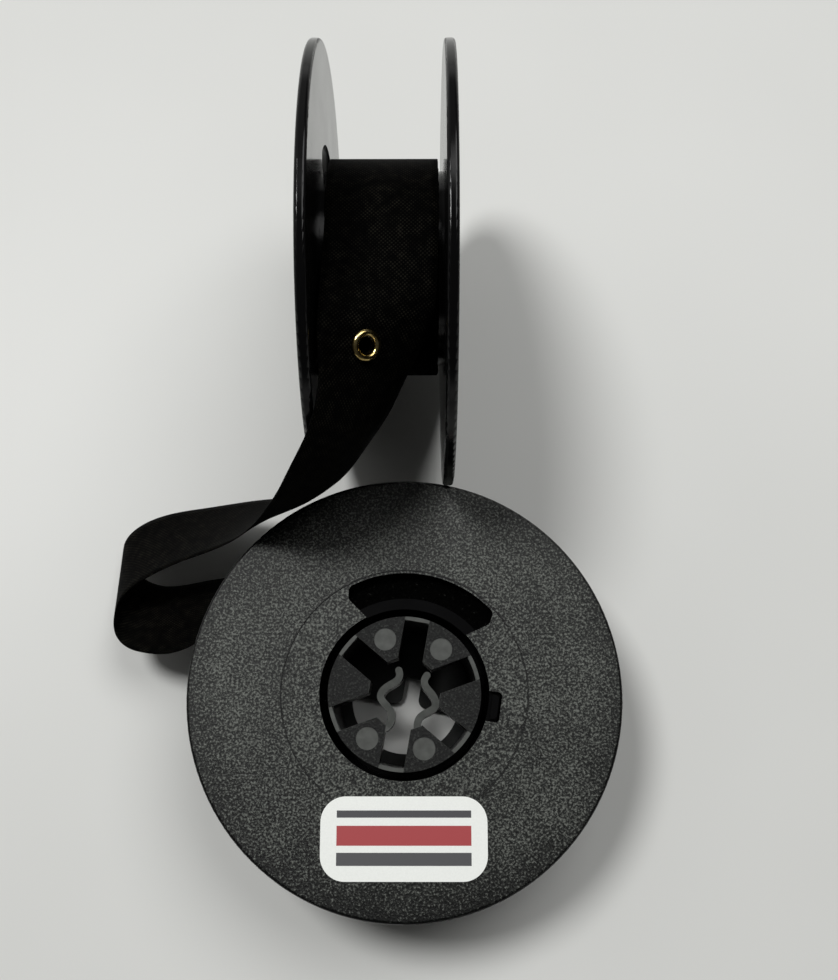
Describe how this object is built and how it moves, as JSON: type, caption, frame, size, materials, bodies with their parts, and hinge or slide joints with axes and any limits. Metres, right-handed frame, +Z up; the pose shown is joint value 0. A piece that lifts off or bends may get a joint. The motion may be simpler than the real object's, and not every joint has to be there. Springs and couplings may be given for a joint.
{
  "type": "typewriter ribbon spool",
  "caption": "Pair of black plastic flanged spools joined by an inked half-inch ribbon with a brass reversing eyelet; spring-arm hubs grip the machine's spindles.",
  "frame": {"origin": "on the table under the lying spool's axis, at its lower face", "axes": "+Z up the lying spool's axis; +X along the standing spool's axis; +Y towards the standing spool"},
  "size_m": [0.067, 0.1057, 0.054],
  "materials": {
    "spool_plastic": "black moulded polystyrene, fine spark-eroded outer faces, glossy inner faces",
    "hub_plastic": "dark grey moulded plastic with smooth ejector marks and arms",
    "inked_ribbon": "black inked nylon, plain weave",
    "eyelet_brass": "polished rolled brass",
    "label_paper": "bare white sticker, satin"
  },
  "bodies": {
    "root": {"supply_core": "spool_plastic", "supply_cap": "spool_plastic", "supply_hub": "hub_plastic", "supply_roll": "inked_ribbon", "takeup_core": "spool_plastic", "takeup_cap": "spool_plastic", "takeup_hub": "hub_plastic", "takeup_roll": "inked_ribbon", "spool_label": "label_paper", "free_ribbon": "inked_ribbon", "ribbon_eyelet": "eyelet_brass"}
  },
  "joints": []
}
